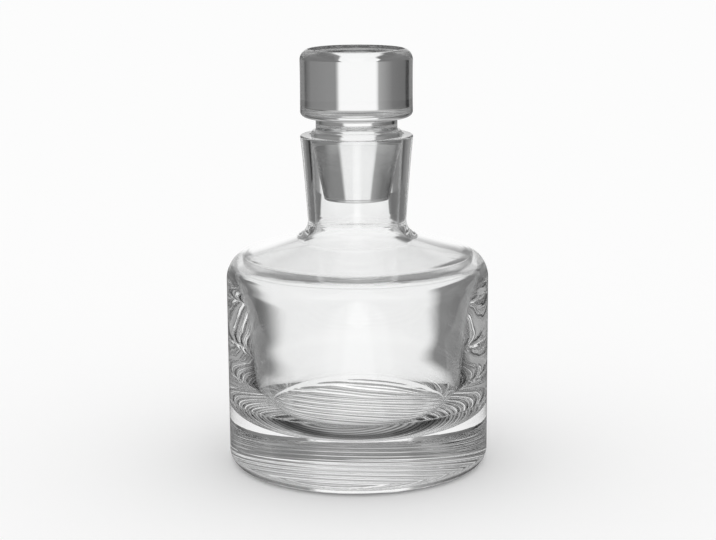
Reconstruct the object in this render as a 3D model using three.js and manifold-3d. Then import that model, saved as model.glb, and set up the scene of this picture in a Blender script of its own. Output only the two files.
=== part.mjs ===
// A heavy clear-glass spirit decanter: a squat round vessel with a thick fluted base, a short neck
// that opens out to a plain rim, and a solid drum-headed stopper whose tapered plug drops into the bore.
// Millimetres, +Z up, the origin at the middle of the underside.
import * as THREE from "three";
import { mergeVertices } from "three/addons/utils/BufferGeometryUtils.js";
import Module from "manifold-3d";

// Outside of the vessel
const BODY_RADIUS = 65.4;
const BASE_CORNER = 6.2;
const WALL_TOP = 94.0;
const SHOULDER_REACH = 12.7;
const SHOULDER_RISE = 13.8;
const SHOULDER_SWEEP = THREE.MathUtils.degToRad(65);
const NECK_FOOT_RADIUS = 31.0;
const NECK_FOOT_HEIGHT = 115.2;
const NECK_WAIST_RADIUS = 24.6;
const NECK_WAIST_HEIGHT = 123.7;
const RIM_RADIUS = 27.95;
const RIM_HEIGHT = 165.5;
const LIP_ROUND = 0.9;
const NECK_FLARE = 0.07;
const RIM_FLARE = 0.11;

// Bore of the neck, the hollow below it and the thick floor
const MOUTH_RADIUS = 22.9;
const BORE_RADIUS = 20.9;
const BORE_BOTTOM = 121.0;
const SHOULDER_WALL = 5.2;
const HOLLOW_TOP_RADIUS = 60.8;
const HOLLOW_TOP_HEIGHT = 94.5;
const HOLLOW_WAIST_RADIUS = 54.8;
const HOLLOW_WAIST_HEIGHT = 47.7;
const HOLLOW_LEAN = THREE.MathUtils.degToRad(7);
const FLOOR_RADIUS = 34.8;
const FLOOR_HEIGHT = 22.0;

// How far each bend of the outlines keeps the direction of the stretch at either end of it
const NECK_FOOT_LEAD = 4.2;
const NECK_WAIST_LEAD = 4.4;
const NECK_SIDE_LEAD = 13.6;
const BORE_LEAD = 4.6;
const ROOF_INNER_LEAD = 3.4;
const ROOF_OUTER_LEAD = 6.2;
const HOLLOW_TOP_LEAD = 5.2;
const HOLLOW_SIDE_LEAD = 30.0;
const HOLLOW_WAIST_LEAD = 14.7;
const FLOOR_LEAD = 12.7;
const ROOF_INNER_RADIUS = 29.0;
const ROOF_OUTER_RADIUS = 51.0;

// Flutes cut across the underside
const FLUTE_PITCH = 10.8;
const FLUTE_WIDTH = 9.4;
const FLUTE_DEPTH = 1.1;
const FLUTE_TURN = THREE.MathUtils.degToRad(-15);
const FLUTE_WAVE = 0.9;
const FLUTE_WAVE_LENGTH = 108.0;
const FLUTE_COUNT = 12;

// Stopper
const HEAD_RADIUS = 27.8;
const HEAD_BOTTOM = 174.3;
const HEAD_TOP = 207.7;
const HEAD_WAIST = 0.1;
const HEAD_LOWER_REACH = 3.4;
const HEAD_LOWER_RISE = 2.9;
const HEAD_UPPER_REACH = 5.0;
const HEAD_UPPER_RISE = 5.5;
const STEM_RADIUS = 20.2;
const STEM_FILLET = 1.3;
const COLLAR_HEIGHT = 168.0;
const COLLAR_FILLET = 0.9;
const PLUG_TOP_HEIGHT = 165.3;
const PLUG_TIP_HEIGHT = 134.0;
const PLUG_TIP_RADIUS = 16.2;
const PLUG_TIP_ROUND = 0.8;
const PLUG_TOP_LEAD = 1.9;
const COLLAR_LEAD = 0.9;
const SEAT_GAP = 0.35;

// Facets around each piece
const AROUND_VESSEL = 64;
const AROUND_STOPPER = 56;
const QUARTER = Math.PI / 2;

// One outline from pieces of [curve, steps], each starting where the last one ended
function outline(pieces) {
  const points = [];
  for (const [curve, steps] of pieces) {
    const stretch = curve.getPoints(steps);
    points.push(...(points.length === 0 ? stretch : stretch.slice(1)));
  }
  return points;
}

function line(fromR, fromZ, toR, toZ) {
  return new THREE.LineCurve(new THREE.Vector2(fromR, fromZ), new THREE.Vector2(toR, toZ));
}

function arc(centreR, centreZ, radiusR, radiusZ, from, to) {
  return new THREE.EllipseCurve(centreR, centreZ, radiusR, radiusZ, from, to, to < from);
}

// A smooth bend that leaves `from` along `leave` and comes into `to` along `arrive`
function bend(from, leave, arrive, to) {
  const [a, b, c, d] = [from, leave, arrive, to].map(([r, z]) => new THREE.Vector2(r, z));
  return new THREE.CubicBezierCurve(a, b, c, d);
}

// The solid swept by an outline turned about the Z axis
function revolve(points, around) {
  return new THREE.LatheGeometry(points, around).rotateX(QUARTER);
}

// The vessel's outline: up the outside from the middle of the underside, over the lip,
// and down the bore and the hollow to the middle of the floor
function vesselOutline() {
  const cornerR = BODY_RADIUS - BASE_CORNER;
  const shoulderR = BODY_RADIUS - SHOULDER_REACH;
  const coneTopR = shoulderR + SHOULDER_REACH * Math.cos(SHOULDER_SWEEP);
  const coneTopZ = WALL_TOP + SHOULDER_RISE * Math.sin(SHOULDER_SWEEP);
  const coneSlope = (NECK_FOOT_HEIGHT - coneTopZ) / (coneTopR - NECK_FOOT_RADIUS);
  const lipZ = RIM_HEIGHT - LIP_ROUND;

  const outside = [
    [line(0, 0, cornerR, 0), 1],
    [arc(cornerR, BASE_CORNER, BASE_CORNER, BASE_CORNER, -QUARTER, 0), 5],
    [line(BODY_RADIUS, BASE_CORNER, BODY_RADIUS, WALL_TOP), 1],
    [arc(shoulderR, WALL_TOP, SHOULDER_REACH, SHOULDER_RISE, 0, SHOULDER_SWEEP), 8],
    [line(coneTopR, coneTopZ, NECK_FOOT_RADIUS, NECK_FOOT_HEIGHT), 1],
    [bend([NECK_FOOT_RADIUS, NECK_FOOT_HEIGHT],
      [NECK_FOOT_RADIUS - NECK_FOOT_LEAD, NECK_FOOT_HEIGHT + NECK_FOOT_LEAD * coneSlope],
      [NECK_WAIST_RADIUS - NECK_WAIST_LEAD * NECK_FLARE, NECK_WAIST_HEIGHT - NECK_WAIST_LEAD],
      [NECK_WAIST_RADIUS, NECK_WAIST_HEIGHT]), 6],
    [bend([NECK_WAIST_RADIUS, NECK_WAIST_HEIGHT],
      [NECK_WAIST_RADIUS + NECK_SIDE_LEAD * NECK_FLARE, NECK_WAIST_HEIGHT + NECK_SIDE_LEAD],
      [RIM_RADIUS - NECK_SIDE_LEAD * RIM_FLARE, lipZ - NECK_SIDE_LEAD], [RIM_RADIUS, lipZ]), 3],
    [arc(RIM_RADIUS - LIP_ROUND, lipZ, LIP_ROUND, LIP_ROUND, 0, QUARTER), 3],
    [line(RIM_RADIUS - LIP_ROUND, RIM_HEIGHT, MOUTH_RADIUS + LIP_ROUND, RIM_HEIGHT), 1],
    [arc(MOUTH_RADIUS + LIP_ROUND, lipZ, LIP_ROUND, LIP_ROUND, QUARTER, Math.PI), 3],
  ];

  // The hollow's roof runs under the shoulder's cone at an even wall, then turns down into the side
  const drop = SHOULDER_WALL * Math.hypot(1, coneSlope);
  const roofPoint = (r) => [r, NECK_FOOT_HEIGHT - drop - coneSlope * (r - NECK_FOOT_RADIUS)];
  // The hollow narrows towards the floor, and at its waist the side leans by HOLLOW_LEAN
  const alongWaist = (up) => [
    HOLLOW_WAIST_RADIUS + up * Math.sin(HOLLOW_LEAN),
    HOLLOW_WAIST_HEIGHT + up * Math.cos(HOLLOW_LEAN),
  ];
  const inside = [
    [line(MOUTH_RADIUS, lipZ, BORE_RADIUS, BORE_BOTTOM), 2],
    [bend([BORE_RADIUS, BORE_BOTTOM], [BORE_RADIUS, BORE_BOTTOM - BORE_LEAD],
      roofPoint(ROOF_INNER_RADIUS - ROOF_INNER_LEAD), roofPoint(ROOF_INNER_RADIUS)), 6],
    [line(...roofPoint(ROOF_INNER_RADIUS), ...roofPoint(ROOF_OUTER_RADIUS)), 1],
    [bend(roofPoint(ROOF_OUTER_RADIUS), roofPoint(ROOF_OUTER_RADIUS + ROOF_OUTER_LEAD),
      [HOLLOW_TOP_RADIUS, HOLLOW_TOP_HEIGHT + HOLLOW_TOP_LEAD], [HOLLOW_TOP_RADIUS, HOLLOW_TOP_HEIGHT]), 8],
    [bend([HOLLOW_TOP_RADIUS, HOLLOW_TOP_HEIGHT], [HOLLOW_TOP_RADIUS, HOLLOW_TOP_HEIGHT - HOLLOW_TOP_LEAD],
      alongWaist(HOLLOW_SIDE_LEAD), alongWaist(0)), 5],
    [bend(alongWaist(0), alongWaist(-HOLLOW_WAIST_LEAD),
      [FLOOR_RADIUS + FLOOR_LEAD, FLOOR_HEIGHT], [FLOOR_RADIUS, FLOOR_HEIGHT]), 11],
    [line(FLOOR_RADIUS, FLOOR_HEIGHT, 0, FLOOR_HEIGHT), 1],
  ];
  return outline([...outside, ...inside]);
}

// One flute's cutter: a shallow round-topped bar that waves gently as it crosses the underside
function fluteCutter(offset) {
  const stations = 12;
  const arcSteps = 5;
  const reach = BODY_RADIUS + 4.0;
  const below = -2.0;
  const half = FLUTE_WIDTH / 2;
  const radius = (half * half + FLUTE_DEPTH * FLUTE_DEPTH) / (2 * FLUTE_DEPTH);
  const section = [[half, below], [half, 0]];
  for (let i = 1; i < arcSteps; i += 1) {
    const u = half - (FLUTE_WIDTH * i) / arcSteps;
    section.push([u, Math.sqrt(radius * radius - u * u) - radius + FLUTE_DEPTH]);
  }
  section.push([-half, 0], [-half, below]);

  const positions = [];
  for (let i = 0; i <= stations; i += 1) {
    const along = reach * ((2 * i) / stations - 1);
    const wave = FLUTE_WAVE * Math.sin((2 * Math.PI * along) / FLUTE_WAVE_LENGTH);
    for (const [u, z] of section) {
      positions.push(along, offset + wave + u, z);
    }
  }
  const count = section.length;
  const index = [];
  for (let i = 0; i < stations; i += 1) {
    for (let j = 0; j < count; j += 1) {
      const a = i * count + j;
      const b = i * count + ((j + 1) % count);
      index.push(a, b, a + count, b, b + count, a + count);
    }
  }
  const last = stations * count;
  for (let j = 1; j < count - 1; j += 1) {
    index.push(0, j + 1, j, last, last + j, last + j + 1);
  }
  const geometry = new THREE.BufferGeometry();
  geometry.setAttribute("position", new THREE.Float32BufferAttribute(positions, 3));
  geometry.setIndex(index);
  return geometry.rotateZ(FLUTE_TURN);
}

// The stopper's outline: up from the middle of the plug's flat tip to the middle of the head's top
function stopperOutline() {
  const boreSlope = (MOUTH_RADIUS - BORE_RADIUS) / (RIM_HEIGHT - LIP_ROUND - BORE_BOTTOM);
  const plugTopR = BORE_RADIUS + boreSlope * (PLUG_TOP_HEIGHT - BORE_BOTTOM) - SEAT_GAP;
  const tipR = PLUG_TIP_RADIUS - PLUG_TIP_ROUND;
  const tipZ = PLUG_TIP_HEIGHT + PLUG_TIP_ROUND;
  const filletR = STEM_RADIUS + STEM_FILLET;
  const filletZ = HEAD_BOTTOM - STEM_FILLET;
  const collarR = STEM_RADIUS + COLLAR_FILLET;
  const collarZ = COLLAR_HEIGHT + COLLAR_FILLET;
  const lowR = HEAD_RADIUS - HEAD_LOWER_REACH;
  const lowZ = HEAD_BOTTOM + HEAD_LOWER_RISE;
  const highR = HEAD_RADIUS - HEAD_UPPER_REACH;
  const highZ = HEAD_TOP - HEAD_UPPER_RISE;
  const third = (highZ - lowZ) / 3;
  // A cubic bend reaches three quarters of the way to its two middle points
  const waistR = HEAD_RADIUS - (HEAD_WAIST * 4) / 3;
  return outline([
    [line(0, PLUG_TIP_HEIGHT, tipR, PLUG_TIP_HEIGHT), 1],
    [arc(tipR, tipZ, PLUG_TIP_ROUND, PLUG_TIP_ROUND, -QUARTER, 0), 2],
    [line(PLUG_TIP_RADIUS, tipZ, plugTopR, PLUG_TOP_HEIGHT), 2],
    [bend([plugTopR, PLUG_TOP_HEIGHT], [plugTopR, PLUG_TOP_HEIGHT + PLUG_TOP_LEAD],
      [collarR + COLLAR_LEAD, COLLAR_HEIGHT], [collarR, COLLAR_HEIGHT]), 5],
    [arc(collarR, collarZ, COLLAR_FILLET, COLLAR_FILLET, -QUARTER, -Math.PI), 3],
    [line(STEM_RADIUS, collarZ, STEM_RADIUS, filletZ), 1],
    [arc(filletR, filletZ, STEM_FILLET, STEM_FILLET, Math.PI, QUARTER), 3],
    [line(filletR, HEAD_BOTTOM, lowR, HEAD_BOTTOM), 1],
    [arc(lowR, lowZ, HEAD_LOWER_REACH, HEAD_LOWER_RISE, -QUARTER, 0), 5],
    [bend([HEAD_RADIUS, lowZ], [waistR, lowZ + third], [waistR, highZ - third], [HEAD_RADIUS, highZ]), 4],
    [arc(highR, highZ, HEAD_UPPER_REACH, HEAD_UPPER_RISE, 0, QUARTER), 6],
    [line(highR, HEAD_TOP, 0, HEAD_TOP), 1],
  ]);
}

const wasm = await Module();
wasm.setup();

// A closed mesh with only its positions, its shared vertices merged and its empty triangles dropped
function solid(geometry) {
  const bare = geometry.clone();
  bare.deleteAttribute("normal");
  bare.deleteAttribute("uv");
  const merged = mergeVertices(bare, 1e-4);
  const corners = merged.index.array;
  const kept = [];
  for (let i = 0; i < corners.length; i += 3) {
    const [a, b, c] = corners.subarray(i, i + 3);
    if (a !== b && b !== c && c !== a) {
      kept.push(a, b, c);
    }
  }
  return new wasm.Manifold(new wasm.Mesh({
    numProp: 3,
    vertProperties: new Float32Array(merged.attributes.position.array),
    triVerts: new Uint32Array(kept),
  }));
}

function geometryOf(manifold) {
  const { vertProperties, triVerts } = manifold.getMesh();
  const geometry = new THREE.BufferGeometry();
  geometry.setAttribute("position", new THREE.BufferAttribute(vertProperties, 3));
  geometry.setIndex(new THREE.BufferAttribute(triVerts, 1));
  geometry.computeVertexNormals();
  return geometry;
}

function vesselGeometry() {
  let body = solid(revolve(vesselOutline(), AROUND_VESSEL));
  for (let i = 0; i < FLUTE_COUNT; i += 1) {
    const offset = FLUTE_PITCH * (i - (FLUTE_COUNT - 1) / 2);
    body = body.subtract(solid(fluteCutter(offset)));
  }
  return geometryOf(body);
}

function stopperGeometry() {
  return revolve(stopperOutline(), AROUND_STOPPER);
}

function clearGlass() {
  return new THREE.MeshStandardMaterial({
    color: 0xe9edec,
    roughness: 0.03,
    metalness: 0.0,
    transparent: true,
    opacity: 0.4,
  });
}

function piece(name, geometry) {
  const mesh = new THREE.Mesh(geometry, clearGlass());
  mesh.name = name;
  return mesh;
}

const decanter = new THREE.Group();
decanter.add(piece("vessel", vesselGeometry()));
decanter.add(piece("stopper", stopperGeometry()));

export default decanter;
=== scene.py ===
import math

import bpy
import numpy as np
from mathutils import Matrix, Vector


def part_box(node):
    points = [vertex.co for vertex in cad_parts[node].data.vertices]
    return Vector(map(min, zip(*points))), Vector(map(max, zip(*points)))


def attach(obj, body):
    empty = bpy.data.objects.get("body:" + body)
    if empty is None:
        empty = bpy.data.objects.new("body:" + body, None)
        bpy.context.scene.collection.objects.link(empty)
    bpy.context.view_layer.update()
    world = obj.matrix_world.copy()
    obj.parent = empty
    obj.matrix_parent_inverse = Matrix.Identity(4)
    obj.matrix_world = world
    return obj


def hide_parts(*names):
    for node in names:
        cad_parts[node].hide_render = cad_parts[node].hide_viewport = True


# A heavy clear-glass decanter with its stopper in. Both pieces are turned about the Z axis, and shallow
# flutes wave across the underside. Metres and radians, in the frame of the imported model.
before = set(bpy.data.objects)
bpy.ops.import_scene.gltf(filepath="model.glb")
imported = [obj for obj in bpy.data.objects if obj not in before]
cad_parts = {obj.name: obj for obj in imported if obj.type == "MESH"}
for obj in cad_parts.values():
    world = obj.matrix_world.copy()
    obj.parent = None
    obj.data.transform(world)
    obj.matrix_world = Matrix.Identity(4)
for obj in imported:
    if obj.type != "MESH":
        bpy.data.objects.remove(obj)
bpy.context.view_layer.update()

QUARTER = math.pi / 2
MILLIMETRE = 0.001
WHITE = (1, 1, 1, 1)

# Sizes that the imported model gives
_, vessel_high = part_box("vessel")
stopper_low, stopper_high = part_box("stopper")
BODY_RADIUS = vessel_high.x
RIM_HEIGHT = vessel_high.z
HEAD_RADIUS = stopper_high.x
HEAD_TOP = stopper_high.z
PLUG_TIP_HEIGHT = stopper_low.z

# Outside of the vessel
BASE_CORNER = 0.0062
WALL_TOP = 0.094
SHOULDER_REACH = 0.0127
SHOULDER_RISE = 0.0138
SHOULDER_SWEEP = math.radians(65)
NECK_FOOT_RADIUS = 0.031
NECK_FOOT_HEIGHT = 0.1152
NECK_FOOT_LEAD = 0.0042
NECK_WAIST_RADIUS = 0.0246
NECK_WAIST_HEIGHT = 0.1237
NECK_WAIST_LEAD = 0.0044
NECK_SIDE_LEAD = 0.0136
NECK_FLARE = 0.07
RIM_RADIUS = 0.02795
RIM_FLARE = 0.11
LIP_ROUND = 0.0009

# Bore of the neck, the hollow below it and the thick floor
MOUTH_RADIUS = 0.0229
BORE_RADIUS = 0.0209
BORE_BOTTOM = 0.121
BORE_LEAD = 0.0046
SHOULDER_WALL = 0.0052
ROOF_INNER_RADIUS = 0.029
ROOF_INNER_LEAD = 0.0034
ROOF_OUTER_RADIUS = 0.051
ROOF_OUTER_LEAD = 0.0062
HOLLOW_TOP_RADIUS = 0.0608
HOLLOW_TOP_HEIGHT = 0.0945
HOLLOW_TOP_LEAD = 0.0052
HOLLOW_SIDE_LEAD = 0.03
HOLLOW_WAIST_RADIUS = 0.0548
HOLLOW_WAIST_HEIGHT = 0.0477
HOLLOW_WAIST_LEAD = 0.0147
HOLLOW_LEAN = math.radians(7)
FLOOR_RADIUS = 0.0348
FLOOR_HEIGHT = 0.022
FLOOR_LEAD = 0.0127

# Flutes cut across the underside
FLUTE_PITCH = 0.0108
FLUTE_WIDTH = 0.0094
FLUTE_DEPTH = 0.0011
FLUTE_TURN = math.radians(-15)
FLUTE_WAVE = 0.0009
FLUTE_WAVE_LENGTH = 0.108
FLUTE_EDGE_ROUND = 0.00012

# Stopper
HEAD_BOTTOM = 0.1743
HEAD_WAIST = 0.0001
HEAD_LOWER_REACH = 0.0034
HEAD_LOWER_RISE = 0.0029
HEAD_UPPER_REACH = 0.005
HEAD_UPPER_RISE = 0.0055
STEM_RADIUS = 0.0202
STEM_FILLET = 0.0013
COLLAR_HEIGHT = 0.168
COLLAR_FILLET = 0.0009
COLLAR_LEAD = 0.0009
PLUG_TOP_HEIGHT = 0.1653
PLUG_TOP_LEAD = 0.0019
PLUG_TIP_RADIUS = 0.0162
PLUG_TIP_ROUND = 0.0008
SEAT_GAP = 0.00035

# Fineness of the surfaces: steps round the axis, the length of a step, and the reach of a slope
AROUND = 288
UNDERSIDE_STEP = 0.0005
ALONG_STEP = 0.0012
SLOPE_REACH = 0.00002

# Steps along the round stretches of the outlines
BASE_CORNER_STEPS = 24
SHOULDER_STEPS = 28
NECK_FOOT_STEPS = 24
NECK_SIDE_STEPS = 34
LIP_STEPS = 8
BORE_FOOT_STEPS = 20
HOLLOW_TOP_STEPS = 28
HOLLOW_SIDE_STEPS = 40
FLOOR_SWEEP_STEPS = 44
PLUG_TIP_STEPS = 8
PLUG_TOP_STEPS = 16
FILLET_STEPS = 10
HEAD_LOWER_STEPS = 16
HEAD_WAIST_STEPS = 20
HEAD_UPPER_STEPS = 22

# Glass. Heights of its ripple, waves and mottling are in millimetres
GLASS_INDEX = 1.52
GLASS_TINT = (0.985, 0.99, 0.988, 1)
VESSEL_RIPPLE_SCALE = 45.0
STOPPER_RIPPLE_SCALE = 70.0
RIPPLE_DETAIL = 1.0
RIPPLE_HEIGHT = 0.05
HAZE_SCALE = 60.0
HAZE_DETAIL = 3.0
HAZE_FROM = 0.45
HAZE_FULL = 0.8
HAZE_ROUGHNESS = 0.012

# Slow waves on the hollow's side, within a radius and between heights, and fine mottling on the rounded
# corner of the base
WAVES_WITHIN = 0.0635
WAVES_EDGE = 0.001
WAVES_FROM = 0.026
WAVES_FULL = 0.04
WAVES_TO = 0.104
WAVES_TOP_EDGE = 0.01
WAVES_STRETCH = (1.0, 1.0, 0.45)
WAVES_SCALE = 45.0
WAVES_DETAIL = 0.5
WAVES_DISTORTION = 0.6
WAVES_HEIGHT = 0.15
MOTTLING_SCALE = 420.0
MOTTLING_DETAIL = 2.0
MOTTLING_HEIGHT = 0.08

# The table, with places along it as distances behind the object's axis. Tones go from 0 to 255, as on a
# screen. The lift is a glow for the camera alone, which shows the table white
TABLE_HALF_SIDE = 12.0
TABLE_COLOUR = (0.92, 0.92, 0.92, 1)
TABLE_ROUGHNESS = 0.9
TABLE_LIFT = 0.1
TABLE_TONES_REACH = 1.0
# Greys of the table beside the lane as the glass sees them: painted shade, darkest in front of and beside the
# object
TABLE_SHADE_TONES = ((-1.0, 135), (-0.3, 130), (-0.2, 30), (0.0, 30), (0.022, 40), (0.04, 112), (1.0, 115))

# A painted pool of light on the table behind the object, a white lane that only the glass sees: how far back,
# its reach to the left and to the right. Its edges are soft, and a strip of painted half light lies beyond
# the right one
LANE_EDGES = (
    (0.0, 0.064, 0.067), (0.033, 0.065, 0.063), (0.05, 0.063, 0.064), (0.058, 0.057, 0.0635),
    (0.066, 0.056, 0.06), (0.076, 0.058, 0.054), (0.086, 0.065, 0.0495), (0.1, 0.071, 0.052),
    (0.119, 0.0695, 0.0605), (0.136, 0.0705, 0.065), (0.17, 0.0715, 0.064), (0.185, 0.073, 0.064),
    (0.2, 0.085, 0.066), (0.3, 0.1, 0.065), (0.36, 0.1, 0.068), (0.42, 0.105, 0.083), (0.5, 0.125, 0.1),
    (0.6, 0.18, 0.124), (0.66, 0.198, 0.138), (0.72, 0.205, 0.149), (0.8, 0.22, 0.155), (1.0, 0.23, 0.16),
)
LANE_SOFT_LEFT = 0.017
LANE_SOFT_RIGHT = 0.011
HALF_LIGHT_REACH = 0.04
HALF_LIGHT_SHARE = 0.13
# Tone of the painted pool of light
LIT_LANE_TONE = 253

# The object's painted shadow on the table right under the glass: a disc that leaves a margin at its back to
# the lane. The painted shade darkens to its sides, and painted streaks of light run along the flutes
UNDER_REACH = 0.066
UNDER_MARGIN = 0.016
UNDER_SHADOW_TONES = (
    (-0.066, 150), (-0.056, 150), (-0.05, 145), (-0.044, 85), (-0.036, 75), (-0.026, 120), (-0.016, 200),
    (0.0, 218), (0.02, 216), (0.03, 214), (0.04, 222), (0.05, 250),
)
UNDER_SIDE_FROM = 0.035
UNDER_SIDE_TO = 0.055
UNDER_SIDE_SHARE = 0.45
# Painted streaks of light along the flutes
STREAK_PITCH = 0.0054
STREAK_LOW = 0.35
STREAK_HIGH = 1.5

# The tent round the object. Its wall has tones at places in degrees from straight behind the object: low
# down, at middle height and high up. Each gives way to the next between two heights, and then to the roof
TENT_RADIUS = 1.0
TENT_HEIGHT = 1.8
TENT_SIDES = 96
LOW_TONES = (
    (-180, 185), (-120, 180), (-90, 122), (-60, 112), (-57.5, 8), (-50, 8), (-47, 95), (-28, 113),
    (-22, 137), (-15.5, 162), (-13.5, 254), (11, 254), (13.5, 135), (40, 127), (52, 80), (58, 125),
    (90, 122), (120, 180), (180, 185),
)
MIDDLE_TONES = (
    (-180, 170), (-120, 165), (-80, 100), (-66, 150), (-52, 85), (-42, 95), (-30, 170), (-17, 200),
    (17, 200), (27, 90), (52, 85), (66, 150), (80, 100), (120, 165), (180, 170),
)
HIGH_TONES = ((-180, 165), (-90, 185), (-34, 185), (-22, 135), (22, 135), (34, 185), (90, 185), (180, 165))
MIDDLE_FROM = 0.3
MIDDLE_FULL = 0.42
HIGH_FROM = 0.6
HIGH_FULL = 0.72
TENT_ROOF_FROM = 1.0
TENT_ROOF_FULL = 1.08
TENT_ROOF_TONE = 120

# The strip behind the object that gives the stopper's flat top its grey
FLAG_BACK = 0.3
FLAG_REACH = 0.045
FLAG_BOTTOM = 0.217
FLAG_TOP = 0.255
FLAG_TONE = 70

# The light of the world, a little under the white that the camera and the glass see of it
WORLD_LIGHT = 0.95

# The camera stands in front of the object and looks a little down on it
CAMERA_BACK = 0.8586
CAMERA_HEIGHT = 0.2783
CAMERA_DOWN = 0.208
CAMERA_ROLL = math.radians(-0.34)
CAMERA_ASIDE = 0.0003
CAMERA_SENSOR = 0.036
CAMERA_LENS = 0.08802

# Light goes to and fro in the thick wall before it comes out
LIGHT_BOUNCES = 40


def steps_for(length):
    """Steps along a straight stretch."""
    return max(1, math.ceil(length / ALONG_STEP))


def line(start, end):
    """A straight stretch of an outline, as rows of radius, height and direction."""
    start, end = np.array(start), np.array(end)
    t = np.linspace(0, 1, steps_for(np.linalg.norm(end - start)) + 1)[:, None]
    return np.hstack([start + (end - start) * t, np.repeat([end - start], len(t), 0)])


def arc(centre, radii, begin, end, steps):
    """A stretch along an ellipse, between two angles."""
    a = np.linspace(begin, end, steps + 1)
    way = math.copysign(1, end - begin)
    return np.stack([
        centre[0] + radii[0] * np.cos(a),
        centre[1] + radii[1] * np.sin(a),
        -way * radii[0] * np.sin(a),
        way * radii[1] * np.cos(a),
    ], 1)


def bend(start, leave, arrive, end, steps):
    """A smooth bend that leaves start towards leave and comes into end from arrive."""
    a, b, c, d = (np.array(point) for point in (start, leave, arrive, end))
    t = np.linspace(0, 1, steps + 1)[:, None]
    s = 1 - t
    points = s**3 * a + 3 * s**2 * t * b + 3 * s * t**2 * c + t**3 * d
    return np.hstack([points, s**2 * (b - a) + 2 * s * t * (c - b) + t**2 * (d - c)])


def outline(stretches):
    """Joins stretches that start where the last one ended, with directions of length one."""
    rows = np.vstack([stretches[0], *(s[1:] for s in stretches[1:])])
    rows[:, 2:] /= np.linalg.norm(rows[:, 2:], axis=1)[:, None]
    return rows


def vessel_outline():
    """Up the outside from the edge of the flat underside, over the lip, and down to the floor's middle."""
    corner_r = BODY_RADIUS - BASE_CORNER
    shoulder_r = BODY_RADIUS - SHOULDER_REACH
    cone_top_r = shoulder_r + SHOULDER_REACH * math.cos(SHOULDER_SWEEP)
    cone_top_z = WALL_TOP + SHOULDER_RISE * math.sin(SHOULDER_SWEEP)
    cone_slope = (NECK_FOOT_HEIGHT - cone_top_z) / (cone_top_r - NECK_FOOT_RADIUS)
    lip_z = RIM_HEIGHT - LIP_ROUND
    outside = [
        arc((corner_r, BASE_CORNER), (BASE_CORNER, BASE_CORNER), -QUARTER, 0, BASE_CORNER_STEPS),
        line((BODY_RADIUS, BASE_CORNER), (BODY_RADIUS, WALL_TOP)),
        arc((shoulder_r, WALL_TOP), (SHOULDER_REACH, SHOULDER_RISE), 0, SHOULDER_SWEEP, SHOULDER_STEPS),
        line((cone_top_r, cone_top_z), (NECK_FOOT_RADIUS, NECK_FOOT_HEIGHT)),
        bend((NECK_FOOT_RADIUS, NECK_FOOT_HEIGHT),
             (NECK_FOOT_RADIUS - NECK_FOOT_LEAD, NECK_FOOT_HEIGHT + NECK_FOOT_LEAD * cone_slope),
             (NECK_WAIST_RADIUS - NECK_WAIST_LEAD * NECK_FLARE, NECK_WAIST_HEIGHT - NECK_WAIST_LEAD),
             (NECK_WAIST_RADIUS, NECK_WAIST_HEIGHT), NECK_FOOT_STEPS),
        bend((NECK_WAIST_RADIUS, NECK_WAIST_HEIGHT),
             (NECK_WAIST_RADIUS + NECK_SIDE_LEAD * NECK_FLARE, NECK_WAIST_HEIGHT + NECK_SIDE_LEAD),
             (RIM_RADIUS - NECK_SIDE_LEAD * RIM_FLARE, lip_z - NECK_SIDE_LEAD), (RIM_RADIUS, lip_z),
             NECK_SIDE_STEPS),
        arc((RIM_RADIUS - LIP_ROUND, lip_z), (LIP_ROUND, LIP_ROUND), 0, QUARTER, LIP_STEPS),
        line((RIM_RADIUS - LIP_ROUND, RIM_HEIGHT), (MOUTH_RADIUS + LIP_ROUND, RIM_HEIGHT)),
        arc((MOUTH_RADIUS + LIP_ROUND, lip_z), (LIP_ROUND, LIP_ROUND), QUARTER, math.pi, LIP_STEPS),
    ]

    drop = SHOULDER_WALL * math.hypot(1, cone_slope)

    def roof(radius):
        return radius, NECK_FOOT_HEIGHT - drop - cone_slope * (radius - NECK_FOOT_RADIUS)

    def waist(up):
        return (HOLLOW_WAIST_RADIUS + up * math.sin(HOLLOW_LEAN),
                HOLLOW_WAIST_HEIGHT + up * math.cos(HOLLOW_LEAN))

    inside = [
        line((MOUTH_RADIUS, lip_z), (BORE_RADIUS, BORE_BOTTOM)),
        bend((BORE_RADIUS, BORE_BOTTOM), (BORE_RADIUS, BORE_BOTTOM - BORE_LEAD),
             roof(ROOF_INNER_RADIUS - ROOF_INNER_LEAD), roof(ROOF_INNER_RADIUS), BORE_FOOT_STEPS),
        line(roof(ROOF_INNER_RADIUS), roof(ROOF_OUTER_RADIUS)),
        bend(roof(ROOF_OUTER_RADIUS), roof(ROOF_OUTER_RADIUS + ROOF_OUTER_LEAD),
             (HOLLOW_TOP_RADIUS, HOLLOW_TOP_HEIGHT + HOLLOW_TOP_LEAD),
             (HOLLOW_TOP_RADIUS, HOLLOW_TOP_HEIGHT), HOLLOW_TOP_STEPS),
        bend((HOLLOW_TOP_RADIUS, HOLLOW_TOP_HEIGHT), (HOLLOW_TOP_RADIUS, HOLLOW_TOP_HEIGHT - HOLLOW_TOP_LEAD),
             waist(HOLLOW_SIDE_LEAD), waist(0), HOLLOW_SIDE_STEPS),
        bend(waist(0), waist(-HOLLOW_WAIST_LEAD), (FLOOR_RADIUS + FLOOR_LEAD, FLOOR_HEIGHT),
             (FLOOR_RADIUS, FLOOR_HEIGHT), FLOOR_SWEEP_STEPS),
        line((FLOOR_RADIUS, FLOOR_HEIGHT), (0, FLOOR_HEIGHT)),
    ]
    return outline([*outside, *inside])


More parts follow.
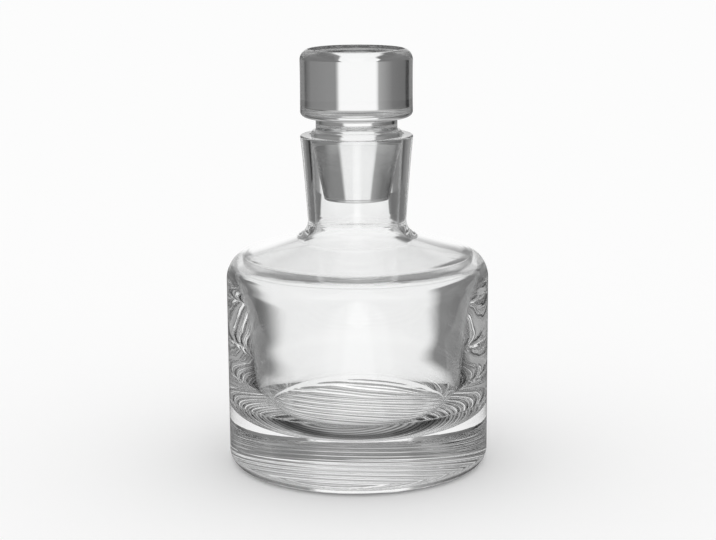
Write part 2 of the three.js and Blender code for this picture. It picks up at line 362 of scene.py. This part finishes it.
def stopper_outline():
    """Up from the middle of the plug's flat tip to the middle of the head's top."""
    bore_slope = (MOUTH_RADIUS - BORE_RADIUS) / (RIM_HEIGHT - LIP_ROUND - BORE_BOTTOM)
    plug_top_r = BORE_RADIUS + bore_slope * (PLUG_TOP_HEIGHT - BORE_BOTTOM) - SEAT_GAP
    tip_r = PLUG_TIP_RADIUS - PLUG_TIP_ROUND
    tip_z = PLUG_TIP_HEIGHT + PLUG_TIP_ROUND
    fillet_r = STEM_RADIUS + STEM_FILLET
    fillet_z = HEAD_BOTTOM - STEM_FILLET
    collar_r = STEM_RADIUS + COLLAR_FILLET
    collar_z = COLLAR_HEIGHT + COLLAR_FILLET
    low_r = HEAD_RADIUS - HEAD_LOWER_REACH
    low_z = HEAD_BOTTOM + HEAD_LOWER_RISE
    high_r = HEAD_RADIUS - HEAD_UPPER_REACH
    high_z = HEAD_TOP - HEAD_UPPER_RISE
    third = (high_z - low_z) / 3

    # The middle of a bend goes three quarters of the way to its two leading points
    waist_r = HEAD_RADIUS - HEAD_WAIST * 4 / 3
    return outline([
        line((0, PLUG_TIP_HEIGHT), (tip_r, PLUG_TIP_HEIGHT)),
        arc((tip_r, tip_z), (PLUG_TIP_ROUND, PLUG_TIP_ROUND), -QUARTER, 0, PLUG_TIP_STEPS),
        line((PLUG_TIP_RADIUS, tip_z), (plug_top_r, PLUG_TOP_HEIGHT)),
        bend((plug_top_r, PLUG_TOP_HEIGHT), (plug_top_r, PLUG_TOP_HEIGHT + PLUG_TOP_LEAD),
             (collar_r + COLLAR_LEAD, COLLAR_HEIGHT), (collar_r, COLLAR_HEIGHT), PLUG_TOP_STEPS),
        arc((collar_r, collar_z), (COLLAR_FILLET, COLLAR_FILLET), -QUARTER, -math.pi, FILLET_STEPS),
        line((STEM_RADIUS, collar_z), (STEM_RADIUS, fillet_z)),
        arc((fillet_r, fillet_z), (STEM_FILLET, STEM_FILLET), math.pi, QUARTER, FILLET_STEPS),
        line((fillet_r, HEAD_BOTTOM), (low_r, HEAD_BOTTOM)),
        arc((low_r, low_z), (HEAD_LOWER_REACH, HEAD_LOWER_RISE), -QUARTER, 0, HEAD_LOWER_STEPS),
        bend((HEAD_RADIUS, low_z), (waist_r, low_z + third), (waist_r, high_z - third),
             (HEAD_RADIUS, high_z), HEAD_WAIST_STEPS),
        arc((high_r, high_z), (HEAD_UPPER_REACH, HEAD_UPPER_RISE), 0, QUARTER, HEAD_UPPER_STEPS),
        line((high_r, HEAD_TOP), (0, HEAD_TOP)),
    ])


def underside(x, y):
    """Height of the underside: flutes with softened edges, cut across the flat and its rounded corner."""
    corner_r = BODY_RADIUS - BASE_CORNER
    out = np.clip(np.hypot(x, y) - corner_r, 0, BASE_CORNER)
    plain = BASE_CORNER - np.sqrt(BASE_CORNER**2 - out**2)
    along = x * math.cos(FLUTE_TURN) + y * math.sin(FLUTE_TURN)
    across = y * math.cos(FLUTE_TURN) - x * math.sin(FLUTE_TURN)
    across = across - FLUTE_WAVE * np.sin(2 * math.pi * along / FLUTE_WAVE_LENGTH)
    off_middle = (np.mod(across / FLUTE_PITCH, 1) - 0.5) * FLUTE_PITCH
    half = FLUTE_WIDTH / 2
    radius = (half**2 + FLUTE_DEPTH**2) / (2 * FLUTE_DEPTH)
    flute = np.sqrt(radius**2 - off_middle**2) - radius + FLUTE_DEPTH

    # The higher of the two, softened where they meet
    gap = plain - flute
    return (plain + flute + np.sqrt(gap**2 + 4 * FLUTE_EDGE_ROUND**2)) / 2


def turned(rows):
    """Points and normals of an outline's rings, as arrays of rings by AROUND by 3."""
    angle = np.linspace(0, 2 * math.pi, AROUND, endpoint=False)
    c, s = np.cos(angle), np.sin(angle)
    r, z, tr, tz = (rows[:, i, None] for i in range(4))
    level = np.ones(AROUND)
    return np.stack([r * c, r * s, z * level], 2), np.stack([tz * c, tz * s, -tr * level], 2)


def mesh_object(name, vertices, faces):
    mesh = bpy.data.meshes.new(name)
    mesh.from_pydata(vertices, [], faces)
    made = bpy.data.objects.new(name, mesh)
    bpy.context.scene.collection.objects.link(made)
    return made


def closed_piece(name, points, normals, first_pole, last_pole):
    """Skins rings of points with exact normals. Each pole is a point on the axis and its normal."""
    rings = len(points)
    vertices = np.vstack([points.reshape(-1, 3), first_pole[None, :3], last_pole[None, :3]])
    directions = np.vstack([normals.reshape(-1, 3), first_pole[None, 3:], last_pole[None, 3:]])
    here = np.arange(AROUND)
    after = np.roll(here, -1)
    neighbours = np.stack([here, after], 1).tolist()
    bands = []
    for ring in range(rings - 1):
        low, high = ring * AROUND, (ring + 1) * AROUND
        bands.append(np.stack([low + here, low + after, high + after, high + here], 1))
    first, last = rings * AROUND, rings * AROUND + 1
    last_ring = (rings - 1) * AROUND
    fans = [(first, b, a) for a, b in neighbours]
    fans += [(last, last_ring + a, last_ring + b) for a, b in neighbours]
    made = mesh_object(name, vertices.tolist(), np.vstack(bands).tolist() + fans)
    made.data.polygons.foreach_set("use_smooth", [True] * len(made.data.polygons))
    made.data.normals_split_custom_set_from_vertices(directions.tolist())
    made.data.update()
    return made


def vessel_piece():
    """The vessel, from the middle of its fluted underside to the middle of the floor of its hollow."""
    corner_r = BODY_RADIUS - BASE_CORNER
    radii = np.linspace(0, corner_r, math.ceil(corner_r / UNDERSIDE_STEP) + 1)[1:-1]
    zeros, ones = np.zeros_like(radii), np.ones_like(radii)
    flat = np.stack([radii, zeros, ones, zeros], 1)
    points, normals = turned(np.vstack([flat, vessel_outline()[:-1]]))

    # The flutes with their softened edges reach up the rounded corner by less than twice their depth
    cut = points[..., 2] < 2 * FLUTE_DEPTH
    cut[len(flat) + BASE_CORNER_STEPS:] = False
    x, y = points[cut][:, 0], points[cut][:, 1]
    slope_x = (underside(x + SLOPE_REACH, y) - underside(x - SLOPE_REACH, y)) / (2 * SLOPE_REACH)
    slope_y = (underside(x, y + SLOPE_REACH) - underside(x, y - SLOPE_REACH)) / (2 * SLOPE_REACH)
    points[cut, 2] = underside(x, y)
    faces_down = np.stack([slope_x, slope_y, -np.ones_like(x)], 1)
    normals[cut] = faces_down / np.linalg.norm(faces_down, axis=1)[:, None]

    middle = underside(np.zeros(1), np.zeros(1))[0]
    return closed_piece("clear_vessel", points, normals,
                        np.array([0, 0, middle, 0, 0, -1.0]), np.array([0, 0, FLOOR_HEIGHT, 0, 0, 1.0]))


def stopper_piece():
    points, normals = turned(stopper_outline()[1:-1])
    return closed_piece("clear_stopper", points, normals,
                        np.array([0, 0, PLUG_TIP_HEIGHT, 0, 0, -1.0]), np.array([0, 0, HEAD_TOP, 0, 0, 1.0]))


def add(tree, kind, inputs=None, **settings):
    """A node with its settings, and each input either linked or set."""
    made = tree.nodes.new(kind)
    for name, value in settings.items():
        setattr(made, name, value)
    for socket, value in (inputs or {}).items():
        if isinstance(value, bpy.types.NodeSocket):
            tree.links.new(value, made.inputs[socket])
        else:
            made.inputs[socket].default_value = value
    return made


def math_of(tree, operation, first, second=0.0):
    return add(tree, "ShaderNodeMath", {0: first, 1: second}, operation=operation).outputs[0]


def product_of(tree, first, *others):
    whole = first
    for value in others:
        whole = math_of(tree, "MULTIPLY", whole, value)
    return whole


def range_of(tree, value, start, end, low=0.0, high=1.0, **settings):
    """Goes from low to high while the value goes from start to end, and stays level outside."""
    ends = {"From Min": start, "From Max": end, "To Min": low, "To Max": high}
    return add(tree, "ShaderNodeMapRange", {"Value": value, **ends}, **settings).outputs["Result"]


def mix_of(tree, share, first, second):
    """A colour that goes from the first to the second."""
    inputs = {"Factor": share, "A": first, "B": second}
    return add(tree, "ShaderNodeMix", inputs, data_type="RGBA").outputs["Result"]


def noise_of(tree, place, scale, detail, distortion=0.0):
    """Smooth noise from 0 to 1, with scale as its cells to the metre."""
    inputs = {"Vector": place, "Scale": scale, "Detail": detail, "Distortion": distortion}
    return add(tree, "ShaderNodeTexNoise", inputs).outputs["Fac"]


def grey(tone):
    """A screen tone from 0 to 255 as a linear grey, by the standard curve of screens."""
    share = tone / 255
    linear = ((share + 0.055) / 1.055) ** 2.4 if share > 0.04045 else share / 12.92
    return linear, linear, linear, 1.0


def ramp_of(tree, value, stops):
    """Colours by value, in a straight line from each stop to the next."""
    ramp = add(tree, "ShaderNodeValToRGB", {"Fac": value})
    elements = ramp.color_ramp.elements
    elements.remove(elements[0])
    elements[0].position = stops[0][0]
    elements[0].color = stops[0][1]
    for position, colour in stops[1:]:
        elements.new(position).color = colour
    return ramp.outputs["Color"]


def tones_along(tree, value, reach, tones):
    """Greys by a value from -reach to reach."""
    share = range_of(tree, value, -reach, reach)
    return ramp_of(tree, share, [((place / reach + 1) / 2, grey(tone)) for place, tone in tones])


def place_of(tree):
    """A piece's own coordinates, which at rest are those of the frame."""
    return add(tree, "ShaderNodeTexCoord").outputs["Object"]


def parts_of(tree, place):
    parts = add(tree, "ShaderNodeSeparateXYZ", {0: place})
    return parts.outputs["X"], parts.outputs["Y"], parts.outputs["Z"]


def off_axis(tree, x, y):
    """Distance from the Z axis."""
    return math_of(tree, "SQRT", math_of(tree, "ADD", product_of(tree, x, x), product_of(tree, y, y)))


def inner_waves(tree, place):
    """Height of the waves on the hollow's side and of the mottling on the base's corner."""
    x, y, z = parts_of(tree, place)
    radius = off_axis(tree, x, y)
    within = range_of(tree, radius, WAVES_WITHIN, WAVES_WITHIN - WAVES_EDGE)
    above = range_of(tree, z, WAVES_FROM, WAVES_FULL)
    below = range_of(tree, z, WAVES_TO, WAVES_TO - WAVES_TOP_EDGE)
    stretched = add(tree, "ShaderNodeVectorMath", {0: place, 1: WAVES_STRETCH}, operation="MULTIPLY")
    waves = noise_of(tree, stretched.outputs[0], WAVES_SCALE, WAVES_DETAIL, WAVES_DISTORTION)
    outward = range_of(tree, radius, BODY_RADIUS - BASE_CORNER, BODY_RADIUS - BASE_CORNER / 2)
    downward = range_of(tree, z, BASE_CORNER, BASE_CORNER / 2)
    mottling = noise_of(tree, place, MOTTLING_SCALE, MOTTLING_DETAIL)
    return math_of(tree, "ADD", product_of(tree, within, above, below, waves, WAVES_HEIGHT),
                   product_of(tree, outward, downward, mottling, MOTTLING_HEIGHT))


def clear_glass(name, ripple_scale, wavy=False):
    """Colourless glass with the faint ripple, unevenness and tint of a pressed and polished piece."""
    made = bpy.data.materials.new(name)
    made.use_nodes = True
    tree = made.node_tree
    shader = tree.nodes["Principled BSDF"]
    shader.inputs["Transmission Weight"].default_value = 1.0
    shader.inputs["IOR"].default_value = GLASS_INDEX
    place = place_of(tree)
    ripple = noise_of(tree, place, ripple_scale, RIPPLE_DETAIL)
    height = product_of(tree, ripple, RIPPLE_HEIGHT)
    if wavy:
        height = math_of(tree, "ADD", height, inner_waves(tree, place))
    bump = add(tree, "ShaderNodeBump", {"Height": height, "Strength": 1.0, "Distance": MILLIMETRE})
    tree.links.new(bump.outputs["Normal"], shader.inputs["Normal"])
    haze = noise_of(tree, place, HAZE_SCALE, HAZE_DETAIL)
    roughness = range_of(tree, haze, HAZE_FROM, HAZE_FULL, 0.0, HAZE_ROUGHNESS)
    tree.links.new(roughness, shader.inputs["Roughness"])
    tree.links.new(mix_of(tree, ripple, WHITE, GLASS_TINT), shader.inputs["Base Color"])
    return made


def bent_rays(tree, path):
    """One for rays that glass bends or mirrors."""
    return math_of(tree, "MAXIMUM", path.outputs["Is Glossy Ray"], path.outputs["Is Transmission Ray"])


def lit_lane_share(tree, x, y):
    """One in the painted pool of light behind the object, nothing beside it, with a painted half light along
    its right edge.
    """
    stops = [(behind, (left, right, 0.0, 1.0)) for behind, left, right in LANE_EDGES]
    edges = add(tree, "ShaderNodeSeparateColor", {0: ramp_of(tree, y, stops)})
    past_left = math_of(tree, "ADD", x, edges.outputs[0])
    short_of_right = math_of(tree, "SUBTRACT", edges.outputs[1], x)
    soft = {"interpolation_type": "SMOOTHSTEP"}
    from_left = range_of(tree, past_left, -LANE_SOFT_LEFT, LANE_SOFT_LEFT, **soft)
    from_right = range_of(tree, short_of_right, -LANE_SOFT_RIGHT, LANE_SOFT_RIGHT, **soft)
    half_light = range_of(tree, short_of_right, -HALF_LIGHT_REACH, 0.0, 0.0, HALF_LIGHT_SHARE)
    return product_of(tree, from_left, math_of(tree, "MAXIMUM", from_right, half_light))


def shadow_and_streaks_under_glass(tree, x, y):
    """The object's painted shadow on the table right under the glass, with painted streaks of light along the
    flutes.
    """
    along = tones_along(tree, y, UNDER_REACH, UNDER_SHADOW_TONES)
    sideways = math_of(tree, "ABSOLUTE", x)
    aside = range_of(tree, sideways, UNDER_SIDE_FROM, UNDER_SIDE_TO, 1.0, UNDER_SIDE_SHARE)
    across = math_of(tree, "SUBTRACT", product_of(tree, y, math.cos(FLUTE_TURN)),
                     product_of(tree, x, math.sin(FLUTE_TURN)))
    wave = math_of(tree, "SINE", product_of(tree, across, 2 * math.pi / STREAK_PITCH))
    streaks = range_of(tree, wave, -1.0, 1.0, STREAK_LOW, STREAK_HIGH)
    inputs = {"Vector": along, "Scale": product_of(tree, aside, streaks)}
    return add(tree, "ShaderNodeVectorMath", inputs, operation="SCALE").outputs[0]


def table_for_glass(tree):
    """The table as glass shows it: a painted pool of light in a white lane behind the object, painted grey
    shade beside it, and the object's painted shadow with painted streaks of light under it.
    """
    x, y, _ = parts_of(tree, place_of(tree))
    beside = tones_along(tree, y, TABLE_TONES_REACH, TABLE_SHADE_TONES)
    open_table = mix_of(tree, lit_lane_share(tree, x, y), beside, grey(LIT_LANE_TONE))
    reached = math_of(tree, "MAXIMUM", off_axis(tree, x, y), math_of(tree, "ADD", y, UNDER_MARGIN))
    outside = math_of(tree, "GREATER_THAN", reached, UNDER_REACH)
    return mix_of(tree, outside, shadow_and_streaks_under_glass(tree, x, y), open_table)


def pale_floor():
    """The table: white for the camera, with the object's soft shadow on it, and a glow of painted light and
    shade for the glass.
    """
    side = TABLE_HALF_SIDE
    corners = [(-side, -side, 0), (side, -side, 0), (side, side, 0), (-side, side, 0)]
    made = mesh_object("floor", corners, [(0, 1, 2, 3)])
    material = bpy.data.materials.new("pale_floor")
    material.use_nodes = True
    tree = material.node_tree
    shader = tree.nodes["Principled BSDF"]
    shader.inputs["Base Color"].default_value = TABLE_COLOUR
    shader.inputs["Roughness"].default_value = TABLE_ROUGHNESS
    shader.inputs["Specular IOR Level"].default_value = 0.0
    path = add(tree, "ShaderNodeLightPath")
    # The glass sees the table as a glow of painted light and shade
    glow = add(tree, "ShaderNodeEmission", {"Color": table_for_glass(tree)})
    bent = bent_rays(tree, path)
    seen = add(tree, "ShaderNodeMixShader", {0: bent, 1: shader.outputs[0], 2: glow.outputs[0]})
    strength = product_of(tree, path.outputs["Is Camera Ray"], TABLE_LIFT)
    lift = add(tree, "ShaderNodeEmission", {"Strength": strength})
    whole = add(tree, "ShaderNodeAddShader", {0: seen.outputs[0], 1: lift.outputs[0]})
    tree.links.new(whole.outputs[0], tree.nodes["Material Output"].inputs["Surface"])
    made.data.materials.append(material)


def wall_tones(tree):
    """Greys of the tent's wall, round the object and from the table to the roof."""
    x, y, z = parts_of(tree, place_of(tree))
    turns = math_of(tree, "DIVIDE", math_of(tree, "ARCTAN2", x, y), 2 * math.pi)
    share = math_of(tree, "ADD", turns, 0.5)

    def around(tones):
        return ramp_of(tree, share, [(degrees / 360 + 0.5, grey(tone)) for degrees, tone in tones])

    whole = around(LOW_TONES)
    for start, full, above in ((MIDDLE_FROM, MIDDLE_FULL, around(MIDDLE_TONES)),
                               (HIGH_FROM, HIGH_FULL, around(HIGH_TONES)),
                               (TENT_ROOF_FROM, TENT_ROOF_FULL, grey(TENT_ROOF_TONE))):
        whole = mix_of(tree, range_of(tree, z, start, full), whole, above)
    return whole


def for_glass_alone(made, material_name):
    """Hides a piece from all rays but those which glass bends or mirrors, and gives its material's tree."""
    made.visible_camera = False
    made.visible_diffuse = False
    made.visible_shadow = False
    material = bpy.data.materials.new(material_name)
    material.use_nodes = True
    tree = material.node_tree
    tree.nodes.remove(tree.nodes["Principled BSDF"])
    made.data.materials.append(material)
    return tree


def shine(tree, colour):
    """Lets a material glow at strength 1."""
    glow = add(tree, "ShaderNodeEmission", {"Color": colour})
    tree.links.new(glow.outputs[0], tree.nodes["Material Output"].inputs["Surface"])


def light_tent():
    """A round wall and a flat roof, with a white window behind the object between greys."""
    angle = np.linspace(0, 2 * math.pi, TENT_SIDES, endpoint=False)
    ring = np.stack([TENT_RADIUS * np.cos(angle), TENT_RADIUS * np.sin(angle)], 1)
    vertices = [(x, y, z) for z in (0.0, TENT_HEIGHT) for x, y in ring.tolist()]
    here = range(TENT_SIDES)
    after = [*here[1:], 0]
    faces = [(a, b, TENT_SIDES + b, TENT_SIDES + a) for a, b in zip(here, after)]
    faces.append(tuple(range(TENT_SIDES, 2 * TENT_SIDES)))
    tree = for_glass_alone(mesh_object("light_tent", vertices, faces), "tent_light")
    shine(tree, wall_tones(tree))


def grey_flag():
    """A grey strip behind the object that glass only mirrors, on the flat top of the stopper."""
    corners = [(-FLAG_REACH, FLAG_BACK, FLAG_BOTTOM), (FLAG_REACH, FLAG_BACK, FLAG_BOTTOM),
               (FLAG_REACH, FLAG_BACK, FLAG_TOP), (-FLAG_REACH, FLAG_BACK, FLAG_TOP)]
    made = mesh_object("grey_flag", corners, [(0, 1, 2, 3)])
    made.visible_transmission = False
    shine(for_glass_alone(made, "flag_grey"), grey(FLAG_TONE))


def white_world():
    """Soft light from all round, and a white background for the camera and for what glass shows of it."""
    world = bpy.data.worlds.new("white_world")
    bpy.context.scene.world = world
    world.use_nodes = True
    tree = world.node_tree
    path = add(tree, "ShaderNodeLightPath")
    background = math_of(tree, "MAXIMUM", path.outputs["Is Camera Ray"], bent_rays(tree, path))
    strength = add(tree, "ShaderNodeMix", {"Factor": background, "A": WORLD_LIGHT, "B": 1.0})
    shader = tree.nodes["Background"]
    shader.inputs["Color"].default_value = WHITE
    tree.links.new(strength.outputs["Result"], shader.inputs["Strength"])


def photo_camera():
    data = bpy.data.cameras.new("camera")
    data.sensor_width = CAMERA_SENSOR / MILLIMETRE
    data.lens = CAMERA_LENS / MILLIMETRE
    made = bpy.data.objects.new("camera", data)
    bpy.context.scene.collection.objects.link(made)
    turn = Matrix.Rotation(QUARTER - CAMERA_DOWN, 4, "X") @ Matrix.Rotation(CAMERA_ROLL, 4, "Z")
    made.matrix_world = Matrix.Translation((CAMERA_ASIDE, -CAMERA_BACK, CAMERA_HEIGHT)) @ turn
    bpy.context.scene.camera = made


vessel = vessel_piece()
vessel.data.materials.append(clear_glass("vessel_glass", VESSEL_RIPPLE_SCALE, wavy=True))
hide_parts("vessel")
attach(vessel, "vessel")

stopper = stopper_piece()
stopper.data.materials.append(clear_glass("stopper_glass", STOPPER_RIPPLE_SCALE))
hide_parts("stopper")
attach(stopper, "stopper")

pale_floor()
light_tent()
grey_flag()
white_world()
photo_camera()
bpy.context.scene.view_settings.view_transform = "Standard"

paths = bpy.context.scene.cycles
paths.max_bounces = LIGHT_BOUNCES
paths.glossy_bounces = LIGHT_BOUNCES
paths.transmission_bounces = LIGHT_BOUNCES
